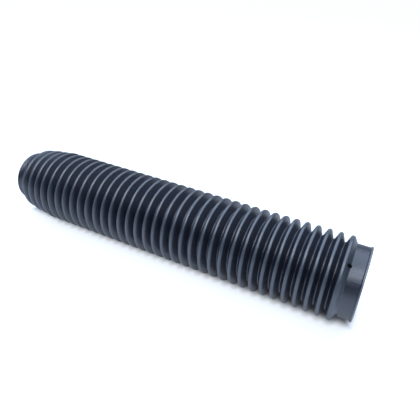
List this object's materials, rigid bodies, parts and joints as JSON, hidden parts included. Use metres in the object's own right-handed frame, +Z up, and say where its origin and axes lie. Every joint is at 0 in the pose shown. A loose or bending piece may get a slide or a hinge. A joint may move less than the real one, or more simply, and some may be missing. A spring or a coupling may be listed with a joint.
{
  "type": "fork gaiter",
  "caption": "Moulded rubber bellows sleeve with a row of ring folds between a narrow and a wide plain collar, vented at both roots, for covering a motorcycle's fork tube.",
  "frame": {"origin": "centre of the box on the surface that the gaiter lies on, below the middle of its length", "axes": "+X along the gaiter's axis toward the wide collar, +Z up from the surface it lies on"},
  "size_m": [0.3336, 0.0676, 0.0676],
  "materials": {
    "rubber": "satin black moulded rubber"
  },
  "bodies": {
    "root": {"gaiter": "rubber"}
  },
  "joints": []
}
